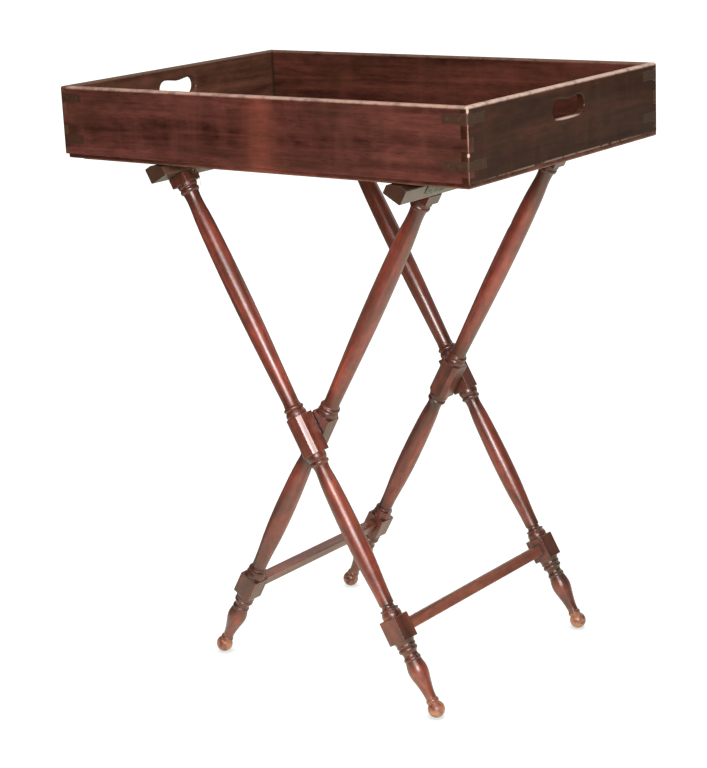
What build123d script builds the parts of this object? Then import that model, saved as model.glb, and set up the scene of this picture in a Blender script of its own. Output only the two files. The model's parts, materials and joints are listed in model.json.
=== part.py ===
from build123d import *
import math
import os

# Butler's tray on a folding stand. Millimetres.
# X runs along the tray's long side, Y across it, Z up; the origin is on the floor under the tray's centre.
# The stand is two frames crossed like an X. The outer frame leans one way; the inner frame stands between
# the outer frame's legs and leans the other way. Each frame has two turned legs, a top rail and a stretcher.

# Tray
tray_length = 740.0
tray_width = 506.0
tray_top = 907.0
tray_underside = 798.0
wall_thickness = 12.0
rim_radius = 3.2
tray_corner_radius = 4.0
board_thickness = 7.5
board_inset = 1.0
wall_seat = 0.5
board_edge_radius = 2.6
chip_length = 17.0
chip_depth = 5.0
sliver_length = 38.0
sliver_depth = 6.0
sliver_height = 3.6
tail_count = 3
tail_half_width = 9.5
tail_flare = 2.5
hand_hole_width = 86.0
hand_hole_height = 28.0
hand_hole_drop = 33.0
hand_hole_dip = 3.0
hand_hole_edge_radius = 2.4

# Brass straps let into the tray's corners, flush with the wood
brass_arm = 42.0
brass_width = 13.0
brass_thickness = 1.4
brass_drops = {"upper": 17.0, "lower": 79.0}
brass_screw_places = (14.0, 33.0)
brass_screw_head_radius = 2.5
brass_screw_shank_radius = 1.2
brass_screw_length = 9.0

# Screws that hold the tray's bottom board
board_screws_long = 5
board_screws_short = 4
board_screw_end_long = 60.0
board_screw_end_short = 70.0
board_screw_head_radius = 3.4
board_screw_shank_radius = 1.6
board_screw_length = 24.0
board_screw_sink = 0.8
screw_slot_width = 0.7
screw_slot_depth = 0.6

# Stand
lean = math.radians(29.3)
stand_offset = 31.0
outer_leg_y = 201.2
inner_leg_y = 168.2
rail_length = 508.0
block_width = 32.0
block_edge_radius = 0.8
foot_reach = 444.4
foot_ball_radius = 12.9
joint_block_half = 31.0
joint_block_chamfer = 6.5
stretcher_block_top = -296.8
stretcher_block_bottom = -334.3
top_block_bottom = 415.5
rail_underside = 431.5
rail_height = 24.0
ridge_across = -3.0
rail_edge_radius = 2.0
leg_tenon_radius = 9.0
leg_tenon_length = 14.0
stretcher_height = -316.0
stretcher_thickness = 15.0
stretcher_depth = 18.0
stretcher_edge_radius = 1.5
stretcher_tenon_shoulder = 2.0
stretcher_tenon_length = 20.0
peg_radius = 2.2
peg_length = 25.0
peg_up = 7.0

# Pivots
pin_radius = 4.0
pin_clearance = 0.06
pin_depth = 22.0
pin_end_gap = 0.5
pivot_gap = 0.1
washer_radius = 11.0

# Webbing
strap_y = 178.0
strap_width = 46.0
strap_thickness = 1.3
strap_gap = 0.25
strap_drop = 15.0
tack_spacing = 14.0
tack_up = 13.0
tack_head_radius = 2.4
tack_head_height = 1.0
tack_shank_radius = 0.9
tack_length = 6.0
tack_head_taper = 35
tack_clearance = 0.05

block_half = block_width / 2
washer_thickness = outer_leg_y - inner_leg_y - block_width - pivot_gap
pivot_z = foot_reach * math.cos(lean) + foot_ball_radius
rail_top = rail_underside + rail_height

os.makedirs("parts", exist_ok=True)


def save(part, name):
    part.label = name
    export_step(part, f"parts/{name}.step")


# ---------------------------------------------------------------- tray
half_length = tray_length / 2
half_width = tray_width / 2
wall_bottom = tray_underside + board_thickness - wall_seat
wall_height = tray_top - wall_bottom
wall_middle = (tray_top + wall_bottom) / 2
hand_hole_z = tray_top - hand_hole_drop
inner_half_length = half_length - wall_thickness
inner_half_width = half_width - wall_thickness

# The hand hole is rounded at its ends, and its top dips in the middle.
hole_flat = hand_hole_width / 2 - hand_hole_height / 2
with BuildSketch(Plane.YZ.offset(-half_length - 1)) as hand_hole:
    with BuildLine():
        low = hand_hole_z - hand_hole_height / 2
        high = hand_hole_z + hand_hole_height / 2
        Line((-hole_flat, low), (hole_flat, low))
        RadiusArc((hole_flat, low), (hole_flat, high), -hand_hole_height / 2)
        Spline(
            (hole_flat, high),
            (0, high - hand_hole_dip),
            (-hole_flat, high),
            tangents=[(-1, 0), (-1, 0)],
        )
        RadiusArc((-hole_flat, high), (-hole_flat, low), -hand_hole_height / 2)
    make_face()

# The four walls as one ring, before the joints are cut: rounded rim, hand holes, beds for the brass.
with BuildPart() as ring_blank:
    with Locations((0, 0, wall_middle)):
        Box(tray_length, tray_width, wall_height)
        Box(
            tray_length - 2 * wall_thickness,
            tray_width - 2 * wall_thickness,
            wall_height,
            mode=Mode.SUBTRACT,
        )
    outer_corners = ring_blank.edges().filter_by(Axis.Z).sort_by(lambda e: abs(e.center().X))[-4:]
    fillet(outer_corners, tray_corner_radius)
    fillet(ring_blank.faces().sort_by(Axis.Z)[-1].edges(), rim_radius)
    extrude(hand_hole.sketch, amount=tray_length + 2, mode=Mode.SUBTRACT)
    hole_rims = ring_blank.edges().filter_by_position(
        Axis.Z, hand_hole_z - hand_hole_height / 2 - 0.1, hand_hole_z + hand_hole_height / 2 + 0.1
    )
    fillet([e for e in hole_rims if abs(e.center().Y) < hand_hole_width / 2 + 1], hand_hole_edge_radius)

# A band round the whole tray, as thick as the brass, from which each strap is cut.
with BuildPart() as brass_band:
    with BuildSketch(Plane.XY.offset(wall_bottom)):
        RectangleRounded(tray_length, tray_width, tray_corner_radius)
        RectangleRounded(
            tray_length - 2 * brass_thickness,
            tray_width - 2 * brass_thickness,
            tray_corner_radius - brass_thickness,
            mode=Mode.SUBTRACT,
        )
    extrude(amount=wall_height)

corners = {
    "front_left": (-1, -1),
    "front_right": (1, -1),
    "back_left": (-1, 1),
    "back_right": (1, 1),
}


# The planes at which one corner's brass screws enter, each looking into the wood.
def brass_screw_planes(side_x, side_y, height):
    planes = []
    for place in brass_screw_places:
        planes.append(
            Plane(
                origin=(side_x * (half_length - place), side_y * half_width, height),
                x_dir=(1, 0, 0),
                z_dir=(0, -side_y, 0),
            )
        )
        planes.append(
            Plane(
                origin=(side_x * half_length, side_y * (half_width - place), height),
                x_dir=(0, 1, 0),
                z_dir=(-side_x, 0, 0),
            )
        )
    return planes


# Adds countersunk screws that enter at the given planes to the part being built.
def add_screws(planes, head_radius, shank_radius, length, sink=0.0, mode=Mode.ADD):
    head_height = head_radius - shank_radius
    upright = (Align.CENTER, Align.CENTER, Align.MIN)
    for plane in planes:
        with Locations(plane.offset(sink)):
            Cone(head_radius, shank_radius, head_height, align=upright, mode=mode)
        with Locations(plane.offset(sink + head_height)):
            Cylinder(shank_radius, length - head_height, align=upright, mode=mode)


# Cuts the driver's slot across each screw head.
def cut_slots(planes, head_radius, sink=0.0):
    for plane in planes:
        with Locations(plane.offset(sink)):
            Box(2 * head_radius + 1, screw_slot_width, 2 * screw_slot_depth, mode=Mode.SUBTRACT)


brass_beds = []
brass_planes = []
for corner, (side_x, side_y) in corners.items():
    for level, drop in brass_drops.items():
        strap_planes = brass_screw_planes(side_x, side_y, tray_top - drop)
        with BuildPart() as brass_bed:
            add(brass_band.part)
            with Locations((side_x * half_length, side_y * half_width, tray_top - drop)):
                Box(2 * brass_arm, 2 * brass_arm, brass_width, mode=Mode.INTERSECT)
        with BuildPart() as brass_strap:
            add(brass_bed.part)
            add_screws(
                strap_planes,
                brass_screw_head_radius,
                brass_screw_shank_radius,
                brass_screw_length,
                mode=Mode.SUBTRACT,
            )
        save(brass_strap.part, f"brass_strap_{corner}_{level}")
        brass_beds.append(brass_bed.part)
        brass_planes += strap_planes

with BuildPart() as brass_screws:
    add_screws(brass_planes, brass_screw_head_radius, brass_screw_shank_radius, brass_screw_length)
    cut_slots(brass_planes, brass_screw_head_radius)
save(brass_screws.part, "brass_strap_screws")

# The board's screws go up through it into the middle of each wall.
screw_inset = wall_thickness / 2
screw_span_x = tray_length - 2 * board_screw_end_long
screw_span_y = tray_width - 2 * board_screw_end_short
board_screw_places = [
    (x * screw_span_x / (board_screws_long - 1) - screw_span_x / 2, side * (half_width - screw_inset))
    for x in range(board_screws_long)
    for side in (-1, 1)
] + [
    (side * (half_length - screw_inset), y * screw_span_y / (board_screws_short - 1) - screw_span_y / 2)
    for y in range(board_screws_short)
    for side in (-1, 1)
]
board_planes = [Plane(origin=(x, y, tray_underside), z_dir=(0, 0, 1)) for x, y in board_screw_places]

with BuildPart() as board_screws:
    add_screws(
        board_planes,
        board_screw_head_radius,
        board_screw_shank_radius,
        board_screw_length,
        board_screw_sink,
    )
    cut_slots(board_planes, board_screw_head_radius, board_screw_sink)
save(board_screws.part, "tray_board_screws")

with BuildPart() as walls_drilled:
    add(ring_blank.part)
    add(brass_beds, mode=Mode.SUBTRACT)
    add_screws(
        brass_planes,
        brass_screw_head_radius,
        brass_screw_shank_radius,
        brass_screw_length,
        mode=Mode.SUBTRACT,
    )
    add_screws(
        board_planes,
        board_screw_head_radius,
        board_screw_shank_radius,
        board_screw_length,
        board_screw_sink,
        mode=Mode.SUBTRACT,
    )

# Dovetails: the long walls end in tails, which widen towards the tray's ends.
tail_pitch = wall_height / tail_count
with BuildPart() as long_wall_zone:
    with Locations((0, 0, wall_middle)):
        Box(2 * inner_half_length, tray_width + 2, wall_height + 2)
    for side_x in (-1, 1):
        for index in range(tail_count):
            tail_z = wall_bottom + tail_pitch * (index + 0.5)
            with BuildSketch(
                Plane.XZ.offset(half_width - wall_thickness), Plane.XZ.offset(-half_width - 1)
            ):
                Polygon(
                    (side_x * inner_half_length, tail_z - tail_half_width + tail_flare),
                    (side_x * (half_length + 1), tail_z - tail_half_width),
                    (side_x * (half_length + 1), tail_z + tail_half_width),
                    (side_x * inner_half_length, tail_z + tail_half_width - tail_flare),
                    align=None,
                )
            extrude(amount=wall_thickness + 1)

for name, side_y in (("tray_front_wall", -1), ("tray_back_wall", 1)):
    with BuildPart() as long_wall:
        add(walls_drilled.part)
        add(long_wall_zone.part, mode=Mode.INTERSECT)
        with Locations((0, side_y * (half_width - wall_thickness / 2), wall_middle)):
            Box(tray_length, wall_thickness, wall_height, mode=Mode.INTERSECT)
    save(long_wall.part, name)

for name, side_x in (("tray_left_wall", -1), ("tray_right_wall", 1)):
    with BuildPart() as short_wall:
        add(walls_drilled.part)
        add(long_wall_zone.part, mode=Mode.SUBTRACT)
        with Locations((side_x * (half_length - wall_thickness / 2), 0, wall_middle)):
            Box(wall_thickness, tray_width, wall_height, mode=Mode.INTERSECT)
    save(short_wall.part, name)

# The bottom board is planted under the walls, a little inside their faces, with a shallow rebate round
# its top that seats them; one corner is chipped off, and a sliver beside it has split from the lower edge.
board_half_length = half_length - board_inset
board_half_width = half_width - board_inset
with BuildPart() as bottom_board:
    with Locations((0, 0, tray_underside + board_thickness / 2)):
        Box(2 * board_half_length, 2 * board_half_width, board_thickness)
    fillet(bottom_board.edges().filter_by(Axis.Z), board_inset)
    fillet(bottom_board.faces().sort_by(Axis.Z)[0].edges(), board_edge_radius)
    with BuildSketch(Plane.XY.offset(wall_bottom)):
        Rectangle(tray_length, tray_width)
        Rectangle(2 * inner_half_length, 2 * inner_half_width, mode=Mode.SUBTRACT)
    extrude(amount=wall_seat, mode=Mode.SUBTRACT)
    with BuildSketch(Plane.XY.offset(tray_underside)):
        Polygon(
            (-board_half_length - 1, -board_half_width - 1),
            (-board_half_length + chip_length, -board_half_width - 1),
            (-board_half_length + chip_length * 0.8, -board_half_width + chip_depth * 0.4),
            (-board_half_length + chip_length * 0.3, -board_half_width + chip_depth * 0.7),
            (-board_half_length - 1, -board_half_width + chip_depth * 1.6),
            align=None,
        )
    extrude(amount=board_thickness, mode=Mode.SUBTRACT)
    with BuildSketch(Plane.XZ.offset(board_half_width + 1)):
        Polygon(
            (-board_half_length - 1, tray_underside - 1),
            (-board_half_length + sliver_length, tray_underside - 1),
            (-board_half_length + sliver_length * 0.93, tray_underside + sliver_height * 0.6),
            (-board_half_length + sliver_length * 0.4, tray_underside + sliver_height * 0.75),
            (-board_half_length - 1, tray_underside + sliver_height),
            align=None,
        )
    extrude(amount=-sliver_depth - 1, mode=Mode.SUBTRACT)
    add_screws(
        board_planes,
        board_screw_head_radius,
        board_screw_shank_radius,
        board_screw_length,
        board_screw_sink,
        mode=Mode.SUBTRACT,
    )
    for board_plane in board_planes:
        with BuildSketch(board_plane):
            Circle(board_screw_head_radius)
        extrude(amount=board_screw_sink, mode=Mode.SUBTRACT)
save(bottom_board.part, "tray_bottom_board")


# ---------------------------------------------------------------- stand
# A frame's own plane: local x points towards the other frame's top and local z up the leg, with the
# origin on the pivot axis. side is 1 for the outer frame and -1 for the inner one.
def frame_plane(side, y=0.0):
    return Plane(
        origin=(stand_offset, y, pivot_z),
        x_dir=(side * math.cos(lean), 0, math.sin(lean)),
        z_dir=(-side * math.sin(lean), 0, math.cos(lean)),
    )


# The same directions seen from the side: sketch x is across the leg and sketch y up it.
def section_plane(side, y=0.0):
    return Plane(
        origin=(stand_offset, y, pivot_z),
        x_dir=(side * math.cos(lean), 0, math.sin(lean)),
        z_dir=(0, -side, 0),
    )


# Half the outline of a turned leg, from its top tenon down to its ball foot, as (radius, height) points.
# "to" runs straight through its points, "arc" is a bead or hollow through a crest, "curve" is smooth.
leg_start = (0.0, rail_underside + leg_tenon_length)
leg_outline = [
    ("to", (leg_tenon_radius, rail_underside + leg_tenon_length), (leg_tenon_radius, 417.0)),
    ("to", (15.1, 417.0), (15.1, 411.0)),
    ("arc", (13.9, 409.6), (13.3, 407.6)),
    ("arc", (14.8, 403.8), (13.0, 400.8)),
    ("to", (12.2, 400.2)),
    (
        "curve",
        (11.4, 391.0),
        (12.7, 365.0),
        (14.4, 324.0),
        (15.2, 265.0),
        (14.7, 180.0),
        (12.6, 92.0),
        (11.8, 55.0),
    ),
    ("to", (12.4, 48.2), (13.2, 46.8)),
    ("arc", (15.4, 43.8), (13.3, 40.6)),
    ("arc", (15.7, 35.6), (14.8, 30.0)),
    ("to", (14.0, 20.0), (14.0, -30.0), (14.6, -30.0)),
    ("arc", (15.4, -36.6), (13.1, -42.0)),
    ("arc", (15.0, -45.2), (12.8, -48.2)),
    ("to", (12.0, -49.4)),
    (
        "curve",
        (11.4, -54.5),
        (12.3, -68.0),
        (14.0, -96.0),
        (15.3, -160.0),
        (13.8, -220.0),
        (11.5, -259.0),
        (11.2, -275.6),
    ),
    ("to", (9.9, -276.6)),
    ("arc", (9.6, -279.4), (10.8, -282.2)),
    ("to", (14.2, -282.9), (14.4, -284.2), (12.9, -286.0)),
    ("arc", (15.1, -291.6), (14.2, -298.0)),
    ("to", (14.0, -333.0), (15.4, -333.0), (15.4, -335.0), (14.1, -339.2)),
    ("arc", (14.7, -341.6), (12.9, -345.2)),
    ("arc", (14.7, -348.9), (12.4, -352.0)),
    ("arc", (10.9, -356.2), (11.9, -360.2)),
    ("arc", (13.2, -363.0), (12.1, -365.8)),
    ("curve", (13.6, -371.6), (15.0, -383.0), (12.9, -396.0), (9.5, -412.0), (8.2, -427.6)),
    ("arc", (9.8, -431.2), (8.9, -434.0)),
    ("to", (8.9, -foot_reach + math.sqrt(foot_ball_radius**2 - 8.9**2))),
    ("arc", (foot_ball_radius, -foot_reach), (0.0, -foot_reach - foot_ball_radius)),
]


# Draws an outline step by step in the line being built, and closes it along the axis.
def draw_outline(start, outline):
    here = start
    for kind, *points in outline:
        if kind == "to":
            Polyline(here, *points)
        elif kind == "arc":
            ThreePointArc(here, *points)
        else:
            Spline(here, *points)
        here = points[-1]
    Line(here, start)


# A square block on the leg, from one height to another, its long edges on one side chamfered if asked.
def add_block(plane, bottom, top, chamfered_group=None):
    with BuildSketch(plane.offset(bottom)) as section:
        Rectangle(block_width, block_width)
        if chamfered_group is not None:
            chamfer(section.vertices().group_by(Axis.Y)[chamfered_group], joint_block_chamfer)
    extrude(section.sketch, amount=top - bottom)


def peg_plane(side, y):
    return Plane(
        origin=frame_plane(side, y).from_local_coords((-block_half, 0, rail_underside + peg_up)),
        z_dir=frame_plane(side).x_dir,
    )


# The chamfers are on the face that the other frame's leg doesn't touch: outwards on the outer legs and
# inwards on the inner ones.
frames = {"outer": (1, outer_leg_y), "inner": (-1, inner_leg_y)}

for frame_name, (side, leg_y) in frames.items():
    for leg_name, leg_side in (("front", -1), ("back", 1)):
        leg_plane = frame_plane(side, leg_side * leg_y)
        chamfered_group = 0 if leg_side == -1 else -1
        mating = leg_side if side == -1 else -leg_side
        with BuildPart() as leg:
            add_block(leg_plane, top_block_bottom, rail_underside)
            add_block(leg_plane, -joint_block_half, joint_block_half, chamfered_group)
            add_block(leg_plane, stretcher_block_bottom, stretcher_block_top)
            fillet(leg.edges(), block_edge_radius)
            with BuildSketch(section_plane(side, leg_side * leg_y)):
                with BuildLine():
                    draw_outline(leg_start, leg_outline)
                make_face()
            revolve(axis=Axis(leg_plane.origin, leg_plane.z_dir))
            # Mortise for the stretcher, in the block's inward face
            with Locations(
                Location(
                    leg_plane.from_local_coords(
                        (0, -side * leg_side * (block_half - stretcher_tenon_length / 2), stretcher_height)
                    ),
                    leg_plane.location.orientation,
                )
            ):
                Box(
                    stretcher_thickness - 2 * stretcher_tenon_shoulder,
                    stretcher_tenon_length,
                    stretcher_depth - 2 * stretcher_tenon_shoulder,
                    mode=Mode.SUBTRACT,
                )
            # Peg hole through the top tenon
            with BuildSketch(peg_plane(side, leg_side * leg_y)):
                Circle(peg_radius)
            extrude(amount=peg_length, mode=Mode.SUBTRACT)
            # Pivot hole, blind in both legs: tight in the outer leg and easy in the inner one
            pivot_plane = Plane(
                origin=(stand_offset, leg_side * leg_y + mating * block_half, pivot_z),
                z_dir=(0, -mating, 0),
            )
            with BuildSketch(pivot_plane):
                Circle(pin_radius if side == 1 else pin_radius + pin_clearance)
            extrude(amount=pin_depth if side == 1 else pin_depth + pin_end_gap, mode=Mode.SUBTRACT)
        save(leg.part, f"{frame_name}_{leg_name}_leg")

    rail_bevel_height = rail_height - (block_half - ridge_across) * math.tan(lean)
    with BuildPart() as rail:
        with BuildSketch(section_plane(side)) as rail_section:
            Polygon(
                (-block_half, rail_underside),
                (block_half, rail_underside),
                (block_half, rail_underside + rail_bevel_height),
                (ridge_across, rail_top),
                (-block_half, rail_top),
                align=None,
            )
            soft_corners = rail_section.vertices().filter_by(lambda v: abs(v.X) > block_half - 0.1)
            fillet(soft_corners, rail_edge_radius)
        extrude(amount=rail_length / 2, both=True)
        for leg_side in (-1, 1):
            with BuildSketch(frame_plane(side, leg_side * leg_y).offset(rail_underside)):
                Circle(leg_tenon_radius)
            extrude(amount=leg_tenon_length, mode=Mode.SUBTRACT)
            with BuildSketch(peg_plane(side, leg_side * leg_y)):
                Circle(peg_radius)
            extrude(amount=peg_length, mode=Mode.SUBTRACT)
        tack_holes = [
            Plane(
                origin=frame_plane(side, y).from_local_coords((-block_half, 0, rail_underside + tack_up)),
                z_dir=frame_plane(side).x_dir,
            )
            for strap_side in (-1, 1)
            for y in (
                strap_side * strap_y - tack_spacing,
                strap_side * strap_y,
                strap_side * strap_y + tack_spacing,
            )
        ]
        for tack_plane in tack_holes:
            with BuildSketch(tack_plane):
                Circle(tack_shank_radius)
            extrude(amount=tack_length, mode=Mode.SUBTRACT)
    save(rail.part, f"{frame_name}_top_rail")

    with BuildPart() as tacks:
        seat = strap_gap + strap_thickness + tack_clearance
        for tack_plane in tack_holes:
            with BuildSketch(tack_plane.offset(-seat)):
                Circle(tack_shank_radius)
            extrude(amount=tack_length + seat)
            with BuildSketch(tack_plane.offset(-seat)):
                Circle(tack_head_radius)
            extrude(amount=-tack_head_height, taper=tack_head_taper)
    save(tacks.part, f"{frame_name}_webbing_tacks")

    with BuildPart() as pegs:
        for leg_side in (-1, 1):
            with BuildSketch(peg_plane(side, leg_side * leg_y)):
                Circle(peg_radius)
            extrude(amount=peg_length)
    save(pegs.part, f"{frame_name}_rail_pegs")

    # The stretcher runs between the two stretcher blocks, with a shouldered tenon at each end.
    bare_length = 2 * (leg_y - block_half)
    with BuildPart() as stretcher:
        with BuildSketch(section_plane(side)):
            with Locations((0, stretcher_height)):
                RectangleRounded(stretcher_thickness, stretcher_depth, stretcher_edge_radius)
        extrude(amount=bare_length / 2, both=True)
        with BuildSketch(section_plane(side)):
            with Locations((0, stretcher_height)):
                Rectangle(
                    stretcher_thickness - 2 * stretcher_tenon_shoulder,
                    stretcher_depth - 2 * stretcher_tenon_shoulder,
                )
        extrude(amount=bare_length / 2 + stretcher_tenon_length, both=True)
    save(stretcher.part, f"{frame_name}_stretcher")

# Each pivot pin is hidden in the legs: fast in the outer one, and the inner one turns on it.
for pin_name, leg_side in (("front", -1), ("back", 1)):
    outer_face = leg_side * (outer_leg_y - block_half)
    inner_face = leg_side * (inner_leg_y + block_half)
    with BuildPart() as pin:
        with BuildSketch(
            Plane(origin=(stand_offset, inner_face - leg_side * pin_depth, pivot_z), z_dir=(0, leg_side, 0))
        ):
            Circle(pin_radius)
        extrude(amount=abs(outer_face - inner_face) + 2 * pin_depth)
    save(pin.part, f"pivot_pin_{pin_name}")

    with BuildPart() as washer:
        with BuildSketch(Plane(origin=(stand_offset, outer_face, pivot_z), z_dir=(0, -leg_side, 0))):
            Circle(washer_radius)
            Circle(pin_radius, mode=Mode.SUBTRACT)
        extrude(amount=washer_thickness)
    save(washer.part, f"pivot_washer_{pin_name}")


# ---------------------------------------------------------------- webbing
# A point of the frame at a distance across and up the leg, as seen from the side.
def side_point(side, across, up):
    spot = frame_plane(side).from_local_coords((across, 0, up))
    return (spot.X, spot.Z)


# One face of the strap, at a distance from the rails: down the outer rail's outer side, over its ridge,
# level across to the inner rail's ridge and down that rail's outer side.
def strap_face(distance):
    ridge = side_point(1, ridge_across, rail_top)
    shift = distance * math.tan(lean / 2)
    left = [
        side_point(1, -block_half - distance, rail_top - strap_drop),
        side_point(1, -block_half - distance, rail_top + distance),
        (ridge[0] - shift, ridge[1] + distance),
    ]
    right = [(2 * stand_offset - x, z) for x, z in reversed(left)]
    return left + right


for strap_name, strap_side in (("front", -1), ("back", 1)):
    with BuildPart() as webbing:
        with BuildSketch(Plane.XZ.offset(-strap_side * strap_y)):
            Polygon(
                *strap_face(strap_gap),
                *reversed(strap_face(strap_gap + strap_thickness)),
                align=None,
            )
        extrude(amount=strap_width / 2, both=True)
        for side in (1, -1):
            for y in (-tack_spacing, 0.0, tack_spacing):
                hole_plane = Plane(
                    origin=frame_plane(side, strap_side * strap_y + y).from_local_coords(
                        (-block_half - strap_thickness - 2 * strap_gap, 0, rail_underside + tack_up)
                    ),
                    z_dir=frame_plane(side).x_dir,
                )
                with BuildSketch(hole_plane):
                    Circle(tack_shank_radius + strap_gap)
                extrude(amount=strap_thickness + 2 * strap_gap, mode=Mode.SUBTRACT)
    save(webbing.part, f"webbing_strap_{strap_name}")
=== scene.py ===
import json
import math
import random

import bpy
from mathutils import Matrix, Vector, noise


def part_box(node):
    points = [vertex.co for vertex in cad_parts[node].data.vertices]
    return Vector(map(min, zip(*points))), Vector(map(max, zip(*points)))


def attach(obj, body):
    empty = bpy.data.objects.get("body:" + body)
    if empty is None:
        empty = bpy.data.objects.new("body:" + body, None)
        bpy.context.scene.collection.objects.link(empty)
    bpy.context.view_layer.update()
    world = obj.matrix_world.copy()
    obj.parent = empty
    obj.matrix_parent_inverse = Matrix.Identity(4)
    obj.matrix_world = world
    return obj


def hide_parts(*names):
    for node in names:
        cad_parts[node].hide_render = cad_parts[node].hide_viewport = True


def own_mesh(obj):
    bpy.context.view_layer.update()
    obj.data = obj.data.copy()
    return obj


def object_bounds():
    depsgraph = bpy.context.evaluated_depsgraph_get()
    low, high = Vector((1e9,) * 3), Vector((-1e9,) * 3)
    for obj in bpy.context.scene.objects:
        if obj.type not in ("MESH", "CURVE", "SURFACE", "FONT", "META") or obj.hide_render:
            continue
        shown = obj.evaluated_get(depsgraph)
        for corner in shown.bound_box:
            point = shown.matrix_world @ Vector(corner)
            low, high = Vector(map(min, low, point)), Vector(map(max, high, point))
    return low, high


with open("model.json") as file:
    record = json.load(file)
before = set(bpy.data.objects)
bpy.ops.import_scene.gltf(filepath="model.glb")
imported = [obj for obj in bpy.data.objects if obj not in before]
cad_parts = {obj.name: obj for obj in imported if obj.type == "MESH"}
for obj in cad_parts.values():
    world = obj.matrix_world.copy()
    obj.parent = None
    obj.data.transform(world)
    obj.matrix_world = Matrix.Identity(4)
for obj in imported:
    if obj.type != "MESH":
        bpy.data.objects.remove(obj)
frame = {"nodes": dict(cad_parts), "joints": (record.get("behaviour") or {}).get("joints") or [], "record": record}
cad_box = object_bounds()

# A butler's tray on a folding stand, in metres. The webbing is made here; every other piece is the
# frame's own mesh with a material. X runs along the tray's long side, Y across it and Z up.

joints = {joint["name"]: joint for joint in frame["joints"]}
ridge_left = Vector(joints["stand_fold"]["pos_m"])
pivot = Vector(joints["frame_pivot"]["pos_m"])
ridge_right = Vector((2 * pivot.x - ridge_left.x, 0, ridge_left.z))
# How far each leg leans from upright, half the width of its square blocks, and how far up the leg from the
# pivot the top face of its rail is.
lean = math.radians(29.3)
block_half = 0.016
rail_top = 0.4555


# ---------------------------------------------------------------- camera, light and floor
def add_camera(place, target, roll, lens):
    data = bpy.data.cameras.new("camera")
    data.lens = lens
    data.sensor_fit = "HORIZONTAL"
    data.clip_end = 50
    camera = bpy.data.objects.new("camera", data)
    bpy.context.collection.objects.link(camera)
    back = (place - target).normalized()
    right = Vector((0, 0, 1)).cross(back).normalized()
    turned = Matrix((right, back.cross(right), back)).transposed() @ Matrix.Rotation(roll, 3, "Z")
    camera.matrix_world = Matrix.Translation(place) @ turned.to_4x4()
    bpy.context.scene.camera = camera


def add_soft_light(name, place, target, size, power, colour):
    data = bpy.data.lights.new(name, "AREA")
    data.shape = "RECTANGLE"
    data.size, data.size_y = size
    data.energy = power
    data.color = colour
    light = bpy.data.objects.new(name, data)
    bpy.context.collection.objects.link(light)
    light.location = place
    light.rotation_euler = (Vector(target) - Vector(place)).to_track_quat("-Z", "Y").to_euler()
    light.visible_camera = False


# White paper that throws light back up, on a darker floor in front and to the left; it also glows faintly, a
# painted bounce light. To the eye it is clear, so that a pose that reaches under it still shows, and it shows
# a painted shadow that darkens it softly where something stands close over it.
def add_floor():
    half_size = 6.0
    mesh = bpy.data.meshes.new("floor")
    corners = [(-half_size, -half_size, 0), (half_size, -half_size, 0)]
    corners += [(half_size, half_size, 0), (-half_size, half_size, 0)]
    mesh.from_pydata(corners, [], [(0, 1, 2, 3)])
    floor = bpy.data.objects.new("floor", mesh)
    bpy.context.collection.objects.link(floor)
    paper = Shader("floor_paper")
    # Painted shadow: the floor darkens where something stands close over it.
    dark = paper.between(paper.open_air(0.16, 24), 0.97, 0.35, 0.0, 0.42)
    clear = paper.node("BsdfTransparent").outputs["BSDF"]
    shadow = paper.node("BsdfDiffuse", {"Color": (0.20, 0.19, 0.18, 1)}).outputs["BSDF"]
    seen = paper.node("MixShader", {"Fac": dark, 1: clear, 2: shadow}).outputs["Shader"]
    place = paper.node("SeparateXYZ", {"Vector": paper.node("TexCoord").outputs["Object"]})
    in_front = paper.between(place.outputs["Y"], -0.45, -1.1)
    to_left = paper.between(place.outputs["X"], -0.45, -1.1)
    tone = paper.mix(paper.math("MAXIMUM", in_front, to_left), (0.84, 0.89, 0.76), (0.16, 0.16, 0.13))
    lit = paper.node("BsdfDiffuse", {"Color": tone}).outputs["BSDF"]
    # Painted bounce light: the paper glows faintly for everything but the camera.
    painted_bounce_glow = paper.node("Emission", {"Color": tone, "Strength": 0.25}).outputs["Emission"]
    bounce = paper.node("AddShader", {0: lit, 1: painted_bounce_glow}).outputs["Shader"]
    to_eye = paper.node("LightPath").outputs["Is Camera Ray"]
    surface = paper.node("MixShader", {"Fac": to_eye, 1: bounce, 2: seen}).outputs["Shader"]
    paper.node("OutputMaterial", {"Surface": surface})
    mesh.materials.append(paper.material)


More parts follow.
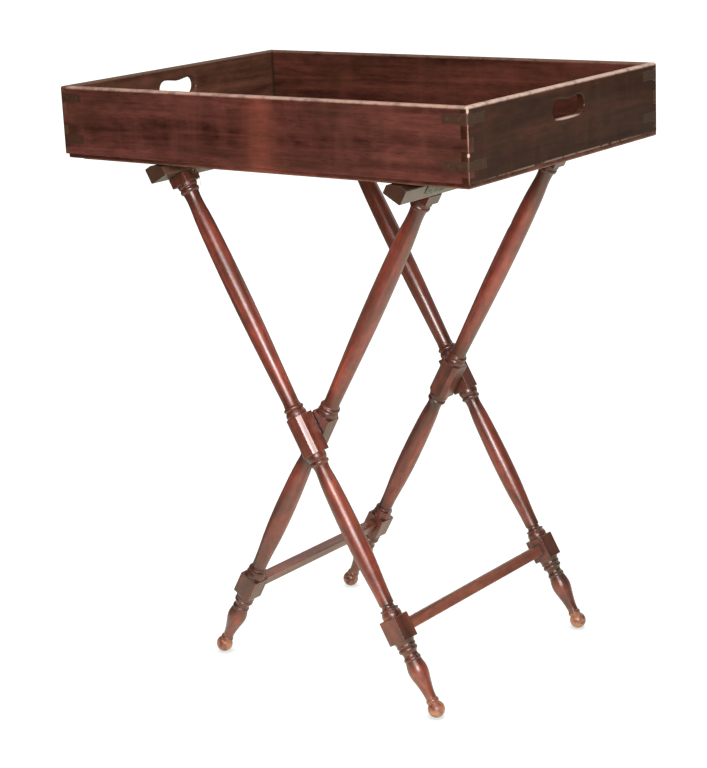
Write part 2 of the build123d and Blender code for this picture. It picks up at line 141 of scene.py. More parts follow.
# White to the eye. What the varnish mirrors is a bright paper backdrop behind the table, seen from the
# camera, and a dim, slightly green room in front of it.
def light_the_world(to_backdrop):
    world = bpy.data.worlds.new("studio")
    bpy.context.scene.world = world
    world.use_nodes = True
    tree = world.node_tree
    tree.nodes.clear()
    place = tree.nodes.new("ShaderNodeTexCoord")
    side = tree.nodes.new("ShaderNodeVectorMath")
    side.operation = "DOT_PRODUCT"
    side.inputs[1].default_value = to_backdrop.normalized()
    spread = tree.nodes.new("ShaderNodeMapRange")
    spread.interpolation_type = "SMOOTHSTEP"
    spread.inputs["From Min"].default_value = 0.0
    spread.inputs["From Max"].default_value = 0.9
    fade = tree.nodes.new("ShaderNodeValToRGB")
    fade.color_ramp.elements[0].color = (0.045, 0.046, 0.036, 1)
    fade.color_ramp.elements[1].color = (0.27, 0.26, 0.225, 1)
    around = tree.nodes.new("ShaderNodeBackground")
    seen = tree.nodes.new("ShaderNodeBackground")
    seen.inputs["Color"].default_value = (1.0, 1.0, 0.985, 1)
    seen.inputs["Strength"].default_value = 1.22
    path = tree.nodes.new("ShaderNodeLightPath")
    choice = tree.nodes.new("ShaderNodeMixShader")
    output = tree.nodes.new("ShaderNodeOutputWorld")
    tree.links.new(place.outputs["Generated"], side.inputs[0])
    tree.links.new(side.outputs["Value"], spread.inputs["Value"])
    tree.links.new(spread.outputs["Result"], fade.inputs["Fac"])
    tree.links.new(fade.outputs["Color"], around.inputs["Color"])
    tree.links.new(path.outputs["Is Camera Ray"], choice.inputs["Fac"])
    tree.links.new(around.outputs["Background"], choice.inputs[1])
    tree.links.new(seen.outputs["Background"], choice.inputs[2])
    tree.links.new(choice.outputs["Shader"], output.inputs["Surface"])


# ---------------------------------------------------------------- materials
class Shader:
    """A material being built, with short calls for the nodes that these finishes use."""

    def __init__(self, name):
        self.material = bpy.data.materials.new(name)
        self.material.use_nodes = True
        self.tree = self.material.node_tree
        self.tree.nodes.clear()

    def node(self, kind, sockets=None, **settings):
        made = self.tree.nodes.new("ShaderNode" + kind)
        for setting, value in settings.items():
            setattr(made, setting, value)
        for socket, value in (sockets or {}).items():
            if isinstance(value, bpy.types.NodeSocket):
                self.tree.links.new(value, made.inputs[socket])
            else:
                made.inputs[socket].default_value = value
        return made

    def math(self, operation, first, second=0.0, clamp=False):
        made = self.node("Math", {0: first, 1: second}, operation=operation, use_clamp=clamp)
        return made.outputs["Value"]

    def between(self, value, low, high, to_low=0.0, to_high=1.0):
        sockets = {"Value": value, "From Min": low, "From Max": high, "To Min": to_low, "To Max": to_high}
        return self.node("MapRange", sockets, interpolation_type="SMOOTHSTEP").outputs["Result"]

    def stretched(self, vector, scales):
        return self.node("VectorMath", {0: vector, 1: scales}, operation="MULTIPLY").outputs["Vector"]

    def noise(self, vector, scale, detail=4.0, roughness=0.55, distortion=0.0):
        sockets = {"Vector": vector, "Scale": scale, "Detail": detail}
        sockets.update({"Roughness": roughness, "Distortion": distortion})
        return self.node("TexNoise", sockets).outputs["Fac"]

    def ramp(self, value, stops):
        made = self.node("ValToRGB", {"Fac": value})
        elements = made.color_ramp.elements
        for place, colour in stops[2:]:
            elements.new(place)
        for element, (place, colour) in zip(elements, sorted(stops)):
            element.position = place
            element.color = (*colour, 1)
        return made.outputs["Color"]

    def mix(self, share, first, second, blend="MIX"):
        made = self.node("Mix", {"Factor": share}, data_type="RGBA", blend_type=blend)
        for socket, value in ((made.inputs[6], first), (made.inputs[7], second)):
            if isinstance(value, bpy.types.NodeSocket):
                self.tree.links.new(value, socket)
            else:
                socket.default_value = (*value, 1)
        return made.outputs[2]

    def bump(self, height, strength, distance, normal=None):
        sockets = {"Height": height, "Strength": strength, "Distance": distance}
        if normal is not None:
            sockets["Normal"] = normal
        return self.node("Bump", sockets).outputs["Normal"]

    def rounded(self, radius):
        return self.node("Bevel", {"Radius": radius}, samples=6).outputs["Normal"]

    def edges(self, rounded_normal, low, high):
        """1 along the sharp edges, where the rounded normal turns away from the true one."""
        true_normal = self.node("NewGeometry").outputs["Normal"]
        sockets = {0: rounded_normal, 1: true_normal}
        match = self.node("VectorMath", sockets, operation="DOT_PRODUCT").outputs["Value"]
        return self.between(self.math("SUBTRACT", 1.0, match), low, high)

    def open_air(self, distance, samples=8):
        """1 in the open and less in corners and grooves."""
        return self.node("AmbientOcclusion", {"Distance": distance}, samples=samples).outputs["AO"]

    def near(self, vector, centre, radii):
        """1 at a place, fading to 0 at the surface of an egg shape round it."""
        offset = self.node("VectorMath", {0: vector, 1: centre}, operation="SUBTRACT").outputs["Vector"]
        scaled = self.stretched(offset, tuple(1 / radius for radius in radii))
        away = self.node("VectorMath", {0: scaled}, operation="LENGTH").outputs["Value"]
        return self.between(away, 1.0, 0.25)

    def along_leg(self, place, leg_name):
        """1 on a leg's rubbed plain shafts, less at its rings and blocks, which get grime and painted shade."""
        axis = leg_axes[leg_name]
        reach = 0.46
        height = self.node("VectorMath", {0: place, 1: axis}, operation="DOT_PRODUCT").outputs["Value"]
        start = axis.dot(pivot)
        sockets = {"Value": height, "From Min": start - reach, "From Max": start + reach}
        share = self.node("MapRange", sockets)
        stops = [((up + reach) / (2 * reach), (value,) * 3) for up, value in shaft_rub_and_shade]
        return self.ramp(share.outputs["Result"], stops)

    def beyond(self, value, low, high):
        """1 where the value's size is over high, and 0 where it is under low."""
        return self.between(self.math("ABSOLUTE", value), low, high)

    def finish(self, sockets):
        surface = self.node("BsdfPrincipled", sockets)
        self.node("OutputMaterial", {"Surface": surface.outputs["BSDF"]})


# The colour of rubbed edges: worn pale wood, and also a painted glint.
pale_wood_and_glint = (0.42, 0.22, 0.155)
foot_wood = (0.46, 0.20, 0.10)
end_wood = (0.038, 0.018, 0.011)
# The colour of dark inner corners: old wax, and also painted shade.
wax_and_painted_shade = (0.020, 0.014, 0.008)
# Chips and worn spots. The pale chips at a wall's corner and the right wall's pale foot are also painted
# highlights.
bright_chip = (0.55, 0.40, 0.33)
dull_chip_and_glint = (0.30, 0.15, 0.11)
rubbed_foot_and_highlight = (0.22, 0.145, 0.110)

# The turn that lays each run of grain along X: the tray's two directions and the two frames' legs.
grain_turns = {
    "x": (0, 0, 0),
    "y": (0, 0, -math.pi / 2),
    "outer": (0, math.pi / 2 + lean, 0),
    "inner": (0, math.pi / 2 - lean, 0),
}

# The way up each frame's legs, and how far a leg is rubbed at each height, as metres up it from the pivot:
# where the share is low, its rings and blocks are darkened with grime and painted shade.
leg_axes = {
    "outer": Vector((-math.sin(lean), 0, math.cos(lean))),
    "inner": Vector((math.sin(lean), 0, math.cos(lean))),
}
shaft_rub_and_shade = [
    (-0.455, 0.95),
    (-0.428, 0.30),
    (-0.385, 1.0),
    (-0.366, 0.02),
    (-0.337, 0.0),
    (-0.330, 0.22),
    (-0.300, 0.22),
    (-0.277, 0.0),
    (-0.262, 0.60),
    (-0.160, 1.0),
    (-0.080, 0.85),
    (-0.055, 0.02),
    (-0.036, 0.0),
    (-0.030, 0.22),
    (0.030, 0.22),
    (0.036, 0.0),
    (0.058, 0.02),
    (0.090, 0.80),
    (0.240, 1.0),
    (0.350, 0.70),
    (0.388, 0.0),
    (0.455, 0.05),
]


def wood_grain(wood, along, place):
    """Noises stretched along the grain, and scuffs, which lie every way."""
    return {
        "streaks": wood.noise(wood.stretched(along, (2.2, 34, 34)), 1.0, 6.0, 0.62, 0.6),
        "lines": wood.noise(wood.stretched(along, (5, 190, 190)), 1.0, 3.0, 0.5),
        "pores": wood.noise(wood.stretched(along, (55, 900, 900)), 1.0, 2.0, 0.5),
        "clouds": wood.noise(wood.stretched(along, (6, 15, 15)), 1.0, 5.0, 0.65, 0.4),
        "smears": wood.noise(wood.stretched(along, (22, 5, 5)), 1.0, 3.0, 0.6),
        "mottle": wood.noise(wood.stretched(along, (45, 110, 110)), 1.0, 3.0, 0.6),
        "scuffs": wood.noise(place, 60.0, 5.0, 0.65),
    }


def figured_colour(wood, grain, tones):
    """Dark to warm streaks, with warm smears, cloudy patches and dark pores over them."""
    figure = wood.math("MULTIPLY", grain["streaks"], 0.62)
    figure = wood.math("ADD", figure, wood.math("MULTIPLY", grain["lines"], 0.16))
    figure = wood.math("ADD", figure, wood.math("MULTIPLY", grain["mottle"], 0.22))
    colour = wood.ramp(figure, [(0.36, tones["deep"]), (0.66, tones["warm"]), (0.51, tones["middle"])])
    colour = wood.mix(wood.between(grain["smears"], 0.48, 0.80, 0.0, 0.45), colour, tones["warm"])
    clouds = wood.between(grain["clouds"], 0.44, 0.68, 0.0, tones["shading"])
    colour = wood.mix(clouds, colour, tones["shade"])
    return wood.mix(wood.between(grain["pores"], 0.60, 0.72, 0.0, 0.55), colour, tones["deep"])


def grime_and_shade_colour(wood, colour, grain, along, tones, bright):
    """Turned wood's dark lines and dirt, with grime and painted shade over all but the rubbed shafts, where bright
    is 1.
    """
    dirt = wood.noise(wood.stretched(along, (14, 60, 60)), 1.0, 4.0, 0.7)
    colour = wood.mix(wood.between(grain["lines"], 0.54, 0.70, 0.0, 0.5), colour, tones["deep"])
    colour = wood.mix(wood.between(dirt, 0.50, 0.68, 0.0, 0.6), colour, tones["shade"])
    # Grime and painted shade darken the rings and blocks.
    grime_and_shade = wood.mix(1.0, colour, (0.36, 0.40, 0.32), "MULTIPLY")
    return wood.mix(bright, grime_and_shade, colour)


def near_corner(wood, axes, corner, reach, fade):
    """1 on the tray's walls within reach of an upright corner edge."""
    along_x = wood.beyond(axes["X"], corner[0] - reach - fade, corner[0] - reach)
    along_y = wood.beyond(axes["Y"], corner[1] - reach - fade, corner[1] - reach)
    return wood.math("MULTIPLY", along_x, along_y)


# Old polished mahogany. Streaks, pores and cloudy patches run along the grain; edges are rubbed pale, which
# is both wear and a painted glint, and inner corners and the places where parts meet darken with old wax
# and painted shade. seed moves the pattern, so that no two boards match, and marks are chips and worn
# spots, each a centre, radii and a colour. For the tray's walls, corner gives the x, y and z of their top
# corners: only the outermost upright edge is rubbed there, the dovetails and brass straps being too tight,
# and the top edge has lost its polish and is pale, partly as a painted highlight. leg adds a turned leg's
# grime and painted shade and its worn foot. end is how far out a rail's ends are, which show end grain, and
# low_edge the height of a board's rubbed lower edge, pale with wear and a painted highlight.
def mahogany(name, run, seed, tones, marks=(), corner=None, leg=False, end=None, low_edge=None):
    wood = Shader(name)
    place = wood.node("TexCoord").outputs["Object"]
    axes = wood.node("SeparateXYZ", {"Vector": place}).outputs
    shift = (seed * 1.37, seed * 0.71, seed * 2.13)
    turned = wood.node("Mapping", {"Vector": place, "Rotation": grain_turns[run], "Location": shift})
    along = turned.outputs["Vector"]
    grain = wood_grain(wood, along, place)
    scuffs = grain["scuffs"]
    colour = figured_colour(wood, grain, tones)
    if leg:
        colour = grime_and_shade_colour(wood, colour, grain, along, tones, wood.along_leg(place, run))

    rounded = wood.rounded(0.0013)
    air = wood.open_air(0.010)
    # Pale rubbed edges: wear, and also painted glints on edges and on the legs' rings.
    rub_and_glint = wood.math("MULTIPLY", wood.edges(rounded, 0.02, 0.22), wood.between(air, 0.72, 0.92))
    if corner is not None:
        tight = near_corner(wood, axes, corner, 0.0438, 0.0004)
        arris = near_corner(wood, axes, corner, 0.0009, 0.0013)
        # A wall's top edge, pale: polish worn off, and a painted highlight.
        crest = wood.between(axes["Z"], corner[2] - 0.0046, corner[2] - 0.0014, 0.0, 0.8)
        rub_and_glint = wood.math("MULTIPLY", rub_and_glint, wood.math("SUBTRACT", 1.0, tight))
        rub_and_glint = wood.math("MAXIMUM", wood.math("MAXIMUM", rub_and_glint, arris), crest)
    if low_edge is not None:
        # The board's lower edge, pale: wear, and a painted highlight.
        low_rub_and_highlight = wood.between(axes["Z"], low_edge + 0.0036, low_edge + 0.0012, 0.0, 0.5)
        rub_and_glint = wood.math("MAXIMUM", rub_and_glint, low_rub_and_highlight)
    rub_and_glint = wood.math("MULTIPLY", rub_and_glint, wood.between(scuffs, 0.36, 0.62, 0.25, 1.0))
    colour = wood.mix(wood.math("MULTIPLY", rub_and_glint, tones["worn"]), colour, pale_wood_and_glint)
    if corner is not None:
        # The pale top edge: worn wood and a painted highlight.
        bare_rim_and_highlight = wood.math("MULTIPLY", crest, wood.between(scuffs, 0.34, 0.56, 0.45, 1.0))
        colour = wood.mix(bare_rim_and_highlight, colour, tones["rim"])
    # Painted shade and old wax: darker in inner corners and where parts meet.
    colour = wood.mix(wood.between(air, 0.88, 0.42, 0.0, tones["wax"]), colour, wax_and_painted_shade)

    coat = wood.math("MULTIPLY", wood.math("SUBTRACT", 1.0, rub_and_glint), tones["coat"])
    if end is not None:
        end_grain = wood.beyond(axes["Y"], end - 0.0012, end - 0.0003)
        colour = wood.mix(wood.math("MULTIPLY", end_grain, 0.85), colour, end_wood)
        sealed = wood.math("SUBTRACT", 1.0, wood.math("MULTIPLY", end_grain, 0.8))
        coat = wood.math("MULTIPLY", coat, sealed)
    if leg:
        worn_foot = wood.between(axes["Z"], 0.042, 0.006)
        worn_foot = wood.math("MULTIPLY", worn_foot, wood.between(scuffs, 0.38, 0.60))
        colour = wood.mix(worn_foot, colour, foot_wood)
    for centre, radii, tone in marks:
        spot = wood.near(place, centre, radii)
        spot = wood.math("MULTIPLY", spot, wood.between(scuffs, 0.38, 0.50))
        colour = wood.mix(wood.math("MULTIPLY", spot, 1.6, True), colour, tone)

    haze = wood.math("MULTIPLY", grain["clouds"], 0.16)
    haze = wood.math("ADD", haze, wood.math("MULTIPLY", scuffs, 0.14))
    roughness = wood.math("ADD", wood.math("ADD", haze, wood.math("MULTIPLY", rub_and_glint, 0.3)), tones["rough"])
    height = wood.math("MULTIPLY", grain["lines"], 0.5)
    height = wood.math("ADD", height, wood.math("MULTIPLY", scuffs, 0.5))
    height = wood.math("SUBTRACT", height, wood.between(grain["pores"], 0.60, 0.72, 0.0, 0.5))
    polish = tones["coat_rough"]
    wood.finish(
        {
            "Base Color": colour,
            "Roughness": roughness,
            "Normal": wood.bump(height, 0.20, 0.0006, rounded),
            "Specular IOR Level": tones["gloss"],
            "Specular Tint": (1.0, 0.42, 0.28, 1),
            "Coat Weight": coat,
            "Coat Roughness": wood.between(grain["lines"], 0.35, 0.65, polish * 0.9, polish * 1.3),
            "Coat IOR": 1.65,
            "Coat Normal": wood.bump(grain["mottle"], 0.05, 0.0006, rounded),
        }
    )
    return wood.material


# Long tarnished brass: olive brown with rubbed gold patches, where the noise goes from low to high.
def tarnished_brass(name, dark, bright, low, high):
    brass = Shader(name)
    place = brass.node("TexCoord").outputs["Object"]
    patches = brass.noise(place, 95.0, 5.0, 0.6)
    grains = brass.noise(place, 900.0, 3.0, 0.6)
    rounded = brass.rounded(0.0004)
    rubbed = brass.between(patches, low, high)
    colour = brass.mix(rubbed, dark, bright)
    colour = brass.mix(brass.between(grains, 0.4, 0.7, 0.0, 0.4), colour, dark)
    roughness = brass.between(patches, 0.35, 0.75, 0.58, 0.34)
    metal = brass.between(patches, low, high, 0.2, 0.7)
    normal = brass.bump(brass.math("ADD", patches, grains), 0.25, 0.0003, rounded)
    brass.finish({"Base Color": colour, "Metallic": metal, "Roughness": roughness, "Normal": normal})
    return brass.material


# Old iron, dull and dusty.
def dark_iron(name):
    iron = Shader(name)
    place = iron.node("TexCoord").outputs["Object"]
    patches = iron.noise(place, 260.0, 5.0, 0.65)
    pits = iron.noise(place, 1400.0, 3.0, 0.6)
    tones = [(0.35, (0.16, 0.145, 0.105)), (0.75, (0.28, 0.24, 0.17)), (0.55, (0.21, 0.19, 0.14))]
    colour = iron.ramp(patches, tones)
    roughness = iron.between(patches, 0.3, 0.7, 0.38, 0.68)
    normal = iron.bump(pits, 0.3, 0.0003, iron.rounded(0.0004))
    iron.finish({"Base Color": colour, "Roughness": roughness, "Normal": normal})
    return iron.material


# Plain-woven jute webbing. The threads follow the stored distance along and across the strap.
def jute(name, dark, middle, light):
    cloth = Shader(name)
    weave = cloth.node("Attribute", attribute_name="weave").outputs["Vector"]
    parts = cloth.node("SeparateXYZ", {"Vector": weave})
    wander = cloth.noise(weave, 240.0, 3.0, 0.5)
    shaken = cloth.math("MULTIPLY", wander, 2.2)
    warp = cloth.math("MULTIPLY", parts.outputs["Y"], 2 * math.pi / 0.0019)
    weft = cloth.math("MULTIPLY", parts.outputs["X"], 2 * math.pi / 0.0026)
    warp = cloth.math("SINE", cloth.math("ADD", warp, shaken))
    weft = cloth.math("SINE", cloth.math("ADD", weft, shaken))
    over = cloth.math("MULTIPLY", warp, weft)
    ridges = cloth.math("ADD", cloth.math("MULTIPLY", warp, 0.4), over)
    stains = cloth.noise(weave, 42.0, 4.0, 0.6)
    fibres = cloth.noise(cloth.stretched(weave, (300, 2400, 300)), 1.0, 3.0, 0.6)
    colour = cloth.ramp(stains, [(0.32, dark), (0.70, light), (0.5, middle)])
    # Painted shade: darker in the hollows between the threads.
    colour = cloth.mix(cloth.between(ridges, 0.2, -1.2, 0.0, 0.7), colour, dark)
    colour = cloth.mix(cloth.between(fibres, 0.5, 0.75, 0.0, 0.35), colour, light)
    normal = cloth.bump(cloth.math("ADD", ridges, fibres), 0.6, 0.0004)
    sheen = {"Sheen Weight": 0.25, "Sheen Roughness": 0.6}
    cloth.finish({"Base Color": colour, "Roughness": 0.92, "Normal": normal, **sheen})
    return cloth.material


# The looks of the woods. deep, middle and warm are the figure's colours from dark to light; shade is the
# colour of the cloudy patches and shading their strength. rough and gloss are the unpolished wood's; coat
# and coat_rough are the polish's. worn is how pale the rubbed edges are, with wear and a painted glint, wax
# how dark the inner corners, with old wax and painted shade, and rim the colour of a wall's top edge, with
# its polish worn off and, on the front and right walls, a painted highlight.
tray_tones = {
    "deep": (0.019, 0.0048, 0.0032),
    "middle": (0.080, 0.0250, 0.0190),
    "warm": (0.156, 0.048, 0.037),
    "shade": (0.034, 0.0160, 0.0090),
    "shading": 0.55,
    "rough": 0.36,
    "gloss": 0.12,
    "coat": 0.36,
    "coat_rough": 0.075,
    "worn": 0.75,
    "wax": 0.85,
    "rim": (0.44, 0.29, 0.235),
}
# The left wall: a lighter copy of the tray's tones, which paints light onto it, with a dark top edge.
olive_painted_lit_tones = {
    **tray_tones,
    "deep": (0.046, 0.0190, 0.0115),
    "middle": (0.110, 0.0450, 0.0270),
    "warm": (0.185, 0.070, 0.046),
    "shade": (0.066, 0.0400, 0.0220),
    "worn": 0.3,
    "rim": (0.13, 0.080, 0.058),
}
back_tones = {
    **tray_tones,
    "middle": (0.070, 0.0225, 0.0145),
    "warm": (0.135, 0.040, 0.028),
    "worn": 0.3,
    "rim": (0.15, 0.090, 0.065),
}
# The right wall: a darker copy of the tray's tones, which paints shade onto it, and a pale top edge that is partly
# a painted highlight.
side_painted_shade_tones = {
    **tray_tones,
    "middle": (0.038, 0.0135, 0.0070),
    "warm": (0.090, 0.026, 0.016),
    "coat": 0.27,
    "rim": (0.62, 0.46, 0.38),
}
board_tones = {**tray_tones, "middle": (0.105, 0.028, 0.018), "warm": (0.20, 0.062, 0.043), "shading": 0.3}
stand_tones = {
    "deep": (0.048, 0.012, 0.008),
    "middle": (0.265, 0.043, 0.027),
    "warm": (0.52, 0.120, 0.070),
    "shade": (0.060, 0.026, 0.016),
    "shading": 0.65,
    "rough": 0.36,
    "gloss": 0.4,
    "coat": 1.0,
    "coat_rough": 0.31,
    "worn": 0.8,
    "wax": 0.85,
}
stretcher_tones = {
    **stand_tones,
    "deep": (0.085, 0.030, 0.018),
    "middle": (0.180, 0.050, 0.030),
    "warm": (0.33, 0.110, 0.066),
}
# The rails: dark wood under greyed, greenish patches that are partly patina and partly a painted reflection of the
# floor.
rail_patina_and_reflection_tones = {
    **stand_tones,
    "deep": (0.036, 0.019, 0.012),
    "middle": (0.085, 0.040, 0.026),
    "warm": (0.15, 0.066, 0.044),
    "shade": (0.110, 0.096, 0.062),
    "shading": 0.9,
    "gloss": 0.5,
    "coat_rough": 0.2,
    "wax": 0.2,
}


def wear_marks(corner):
    """The chips and worn spots of the front wall, and those of the right wall, the pale ones partly painted
    highlights.
    """
    openings = {opening["name"]: opening["box_m"] for opening in frame["record"]["physics"]["openings"]}
    hole_low = openings["right_hand_hole"][0][2] - 0.002
    wall_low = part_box("tray_right_wall")[0].z + 0.0008
    x, y, rim = corner[0] - 0.001, 0.001 - corner[1], corner[2]
    # Chips at the front corner and a pale strip down its edge: worn wood and painted glints.
    corner_chips_and_glints = [
        ((x, y, rim - 0.006), (0.0030, 0.0030, 0.0045), bright_chip),
        ((x, y, rim - 0.064), (0.0028, 0.0028, 0.0036), bright_chip),
        ((x, y, rim - 0.036), (0.0014, 0.0014, 0.030), dull_chip_and_glint),
    ]
    lip_mark = ((corner[0] - 0.003, -0.004, hole_low), (0.006, 0.046, 0.0035), bright_chip)
    # The right wall's pale foot: wear, and a painted highlight.
    foot_mark = ((corner[0], 0.0, wall_low), (0.004, 0.270, 0.0024), rubbed_foot_and_highlight)
    return corner_chips_and_glints, [*corner_chips_and_glints, lip_mark, foot_mark]


def dress(node, material):
    for material_slot in frame["nodes"][node].material_slots:
        material_slot.material = material


def paint_nodes():
    corner = (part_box("tray_front_wall")[1].x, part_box("tray_back_wall")[1].y, cad_box[1].z)
    front_marks, right_marks = wear_marks(corner)
    finishes = {
        "tray_front_wall": ("x", 1, tray_tones, front_marks),
        "tray_back_wall": ("x", 2, back_tones, ()),
        "tray_left_wall": ("y", 3, olive_painted_lit_tones, ()),
        "tray_right_wall": ("y", 4, side_painted_shade_tones, right_marks),
        "tray_bottom_board": ("x", 5, board_tones, ()),
    }
    for frame_name, first_seed in (("outer", 6), ("inner", 8)):
        finishes[f"{frame_name}_front_leg"] = (frame_name, first_seed, stand_tones, ())
        finishes[f"{frame_name}_back_leg"] = (frame_name, first_seed + 1, stand_tones, ())
        finishes[f"{frame_name}_top_rail"] = ("y", 11, rail_patina_and_reflection_tones, ())
        finishes[f"{frame_name}_stretcher"] = ("y", 12, stretcher_tones, ())
        finishes[f"{frame_name}_rail_pegs"] = (frame_name, 13, rail_patina_and_reflection_tones, ())
    for node, (run, seed, tones, marks) in finishes.items():
        wood = mahogany(
            f"mahogany_{node}",
            run,
            seed,
            tones,
            marks,
            corner=corner if node.endswith("wall") else None,
            leg=node.endswith("leg"),
            end=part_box(node)[1].y if node.endswith("rail") else None,
            low_edge=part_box(node)[0].z if node.endswith("board") else None,
        )
        dress(node, wood)

    strap_brass = tarnished_brass("brass_strap", (0.056, 0.0225, 0.0125), (0.092, 0.046, 0.025), 0.45, 0.75)
    screw_brass = tarnished_brass("brass_screw", (0.064, 0.0275, 0.0150), (0.130, 0.074, 0.038), 0.38, 0.70)
    iron = dark_iron("iron")
    for node in frame["nodes"]:
        if node == "brass_strap_screws":
            dress(node, screw_brass)
        elif node.startswith("brass_strap"):
            dress(node, strap_brass)
        elif node == "tray_board_screws" or "tacks" in node or node.startswith("pivot"):
            dress(node, iron)


# ---------------------------------------------------------------- webbing
# A point of one frame of the stand at a distance across and up its legs; side is 1 for the outer frame
# and -1 for the inner one.
def side_point(side, across, up):
    x = pivot.x + side * (math.cos(lean) * across - math.sin(lean) * up)
    z = pivot.z + math.sin(lean) * across + math.cos(lean) * up
    return Vector((x, 0, z))


# How far the straps lie off the wood, how thick they are, how far they come down the rails' outer faces,
# and how far they hang between the rails.
strap_gap = 0.00025
strap_thickness = 0.0013
strap_drop = 0.015
strap_sag = 0.0045


def link_mesh(name, points, weave, faces, cloth):
    """A smooth cloth piece, where weave is each point's place on the flat cloth."""
    mesh = bpy.data.meshes.new(name)
    mesh.from_pydata([tuple(point) for point in points], [], faces)
    stored = mesh.attributes.new("weave", "FLOAT_VECTOR", "POINT")
    stored.data.foreach_set("vector", [value for place in weave for value in place])
    mesh.polygons.foreach_set("use_smooth", [True] * len(mesh.polygons))
    piece = bpy.data.objects.new(name, mesh)
    bpy.context.collection.objects.link(piece)
    mesh.materials.append(cloth)
    return piece


def add_strap_mesh(name, path, middle_y, width, cloth):
    """A strap of cloth along a path, thick by strap_thickness, with slightly uneven selvedges."""
    across_count = 24
    length = [0.0]
    for here, there in zip(path, path[1:]):
        length.append(length[-1] + (there - here).length)
    normals = []
    for index in range(len(path)):
        before = path[max(index - 1, 0)]
        after = path[min(index + 1, len(path) - 1)]
        run = (after - before).normalized()
        normals.append(Vector((-run.z, 0, run.x)))
    points, weave = [], []
    for face in (0, 1):
        for here, normal, distance in zip(path, normals, length):
            for step in range(across_count + 1):
                share = step / across_count - 0.5
                out = abs(2 * share)
                ragged = 0.0009 * noise.noise((distance * 55, share * 3, middle_y * 9)) * out**3
                y = middle_y + share * width + ragged
                puff = 0.00015 * noise.noise((distance * 90, y * 90, 5.0)) - 0.0003 * out**6
                lift = puff + strap_thickness if face else -puff * 0.2
                points.append(here + normal * lift + Vector((0, y, 0)))
                weave.append((distance, y, 0))
    columns = across_count + 1
    sheet_size = len(path) * columns
    faces = []
    for row in range(len(path) - 1):
        for step in range(across_count):
            corner = row * columns + step
            faces.append((corner, corner + columns, corner + columns + 1, corner + 1))
            top = corner + sheet_size
            faces.append((top, top + 1, top + columns + 1, top + columns))
    for row in range(len(path) - 1):
        for step, flip in ((0, False), (across_count, True)):
            a = row * columns + step
            b = a + columns
            ring = (a, a + sheet_size, b + sheet_size, b)
            faces.append(ring[::-1] if flip else ring)
    for step in range(across_count):
        for row, flip in ((0, True), (len(path) - 1, False)):
            a = row * columns + step
            ring = (a, a + sheet_size, a + 1 + sheet_size, a + 1)
            faces.append(ring if flip else ring[::-1])
    return link_mesh(name, points, weave, faces, cloth)


# Adds one loose thread to a mesh in the making: a thin five-sided tube along strand, closed at both ends.
def add_thread(points, weave, faces, strand, radius):
    sides = 5
    first = len(points)
    for index, here in enumerate(strand):
        before = strand[max(index - 1, 0)]
        after = strand[min(index + 1, len(strand) - 1)]
        run = (after - before).normalized()
        right = run.orthogonal().normalized()
        up = run.cross(right)
        for side in range(sides):
            angle = 2 * math.pi * side / sides
            points.append(here + right * radius * math.cos(angle) + up * radius * math.sin(angle))
            weave.append((here.z, here.y + 0.0004 * side, 0))
    for index in range(len(strand) - 1):
        for side in range(sides):
            a = first + index * sides + side
            b = first + index * sides + (side + 1) % sides
            faces.append((a, b, b + sides, a + sides))
    faces.append(tuple(first + side for side in range(sides))[::-1])
    last = first + (len(strand) - 1) * sides
    faces.append(tuple(last + side for side in range(sides)))


# The underside of a strap between the rails, which hangs a little under the line between the two ridges.
def strap_height(x):
    share = (x - ridge_left.x) / (ridge_right.x - ridge_left.x)
    sag = strap_sag * max(0.0, math.sin(math.pi * share)) ** 1.3
    return ridge_left.z + strap_gap - sag


# Threads frayed from a strap's outer selvedge. They hang down.
def add_loose_threads(selvedge_y, cloth):
    thread_count = 16
    longest_thread = 11
    draw = random.Random(7)
    points, weave, faces = [], [], []
    for number in range(thread_count):
        x = ridge_left.x + 0.040 + 0.014 * number / (thread_count - 1) + draw.uniform(-0.0006, 0.0006)
        drop = draw.uniform(0.008, 0.016)
        if number == longest_thread:
            drop = 0.034
        lean_x = draw.uniform(-0.003, 0.003)
        lean_y = draw.uniform(-0.003, 0.001)
        top = strap_height(x) + 0.0004
        strand = [Vector((x, selvedge_y - 0.0009, top))]
        for step in range(1, 9):
            share = step / 8
            wave = 0.0009 * math.sin(share * 7 + number * 1.9)
            out = 1 - (1 - share) ** 3
            aside = selvedge_y - 0.0012 - 0.0015 * out + lean_y * share
            strand.append(Vector((x + lean_x * share + wave, aside, top - drop * share)))
        add_thread(points, weave, faces, strand, 0.0004)
    threads = link_mesh("webbing_loose_threads", points, weave, faces, cloth)
    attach(threads, "webbing")
    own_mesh(threads)


# From ridge to ridge.
def strap_span_path():
    steps = 60
    start, end = ridge_left.x, ridge_right.x
    places = [start + (end - start) * step / steps for step in range(steps + 1)]
    return [Vector((x, 0, strap_height(x))) for x in places]


# From the ridge over the rail's top face, round a small bend and down its outer side face.
def strap_wrap_path(side):
    bend = 0.0022
    top_run = 0.0125
    ridge = side_point(side, -0.003, rail_top + strap_gap)
    corner = side_point(side, -block_half - strap_gap, rail_top + strap_gap)
    along_top = (ridge - corner).normalized()
    down = (side_point(side, 0, 0) - side_point(side, 0, 1)).normalized()
    path = [ridge + along_top * 0.0006 * (1 - step / 3) for step in range(3)]
    path += [corner + along_top * (top_run - (top_run - bend) * step / 5) for step in range(1, 6)]
    for step in range(1, 6):
        angle = math.pi / 2 * step / 5
        centre = corner + along_top * bend + down * bend
        path.append(centre - down * bend * math.cos(angle) - along_top * bend * math.sin(angle))
    path += [corner + down * (bend + (strap_drop - bend) * step / 6) for step in range(1, 7)]
    return path


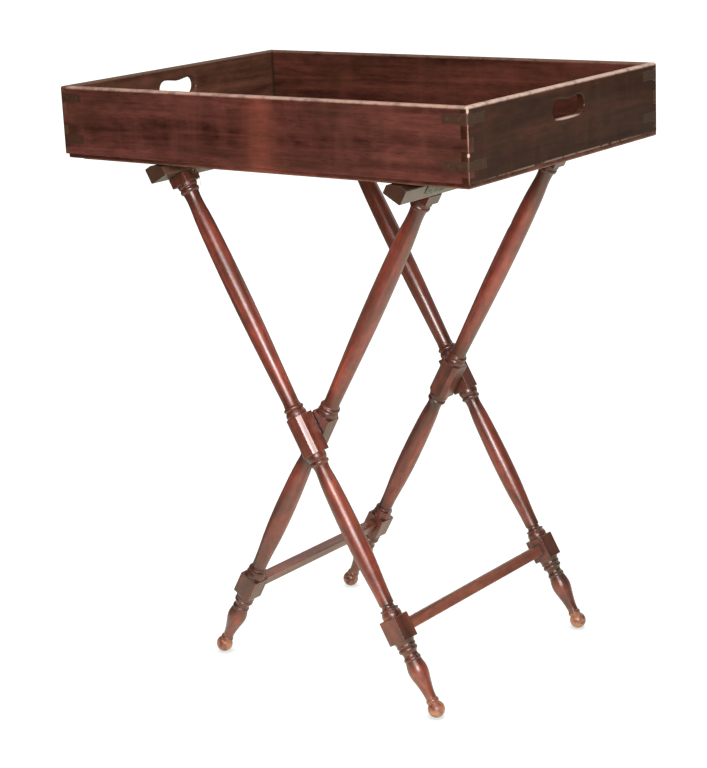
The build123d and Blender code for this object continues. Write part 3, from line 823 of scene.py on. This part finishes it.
def add_webbing():
    clean_jute = jute("jute_webbing", (0.21, 0.155, 0.095), (0.44, 0.36, 0.25), (0.62, 0.54, 0.41))
    waxed_jute = jute("waxed_webbing", (0.15, 0.15, 0.105), (0.20, 0.205, 0.145), (0.26, 0.265, 0.19))
    for end in ("front", "back"):
        low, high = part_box(f"webbing_strap_{end}")
        middle_y = (low.y + high.y) / 2
        width = high.y - low.y
        span = add_strap_mesh(f"webbing_span_{end}", strap_span_path(), middle_y, width, clean_jute)
        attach(span, "webbing")
        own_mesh(span)
        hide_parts(f"webbing_strap_{end}")
        if end == "front":
            add_loose_threads(middle_y - width / 2, clean_jute)
        for side, frame_name in ((1, "outer"), (-1, "inner")):
            path = strap_wrap_path(side)
            if side == 1:
                path.reverse()
            wrap = add_strap_mesh(f"webbing_{frame_name}_{end}_wrap", path, middle_y, width, waxed_jute)
            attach(wrap, f"{frame_name}_frame")
            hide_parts(f"webbing_strap_{end}")


# ---------------------------------------------------------------- the scene
camera_place = Vector((1.84687, -2.44283, 1.25728))
camera_target = Vector((-0.0315, 0.0, 0.4218))
camera_roll = math.radians(-2.658)
camera_lens = 103.6
backdrop_direction = Vector((-0.61, 0.79, 0.10))
# Each soft light's place, the point it faces, its size, its power and its colour.
soft_lights = {
    "by_the_camera": ((1.92, -2.25, 1.62), (0, -0.1, 0.5), (1.1, 0.95), 98, (1.0, 0.95, 0.95)),
    "window": ((-1.925, -2.58, 0.62), (-0.05, -0.2, 0.75), (0.055, 1.5), 2.0, (1.0, 0.24, 0.14)),
    "high_front": ((0.1, -2.7, 2.9), (0, -0.1, 0.6), (1.3, 1.3), 26, (1.0, 0.97, 0.94)),
    "behind": ((0.5, 2.9, 2.3), (0, 0, 0.6), (1.4, 1.4), 17, (1.0, 0.97, 0.94)),
    "overhead": ((0.3, -0.2, 3.2), (0, 0, 0.6), (2.4, 2.4), 36, (1.0, 1.0, 1.0)),
}

add_camera(camera_place, camera_target, camera_roll, camera_lens)
bpy.context.scene.view_settings.view_transform = "Standard"
light_the_world(backdrop_direction)
add_floor()
for light_name, light_settings in soft_lights.items():
    add_soft_light(light_name, *light_settings)
paint_nodes()
add_webbing()
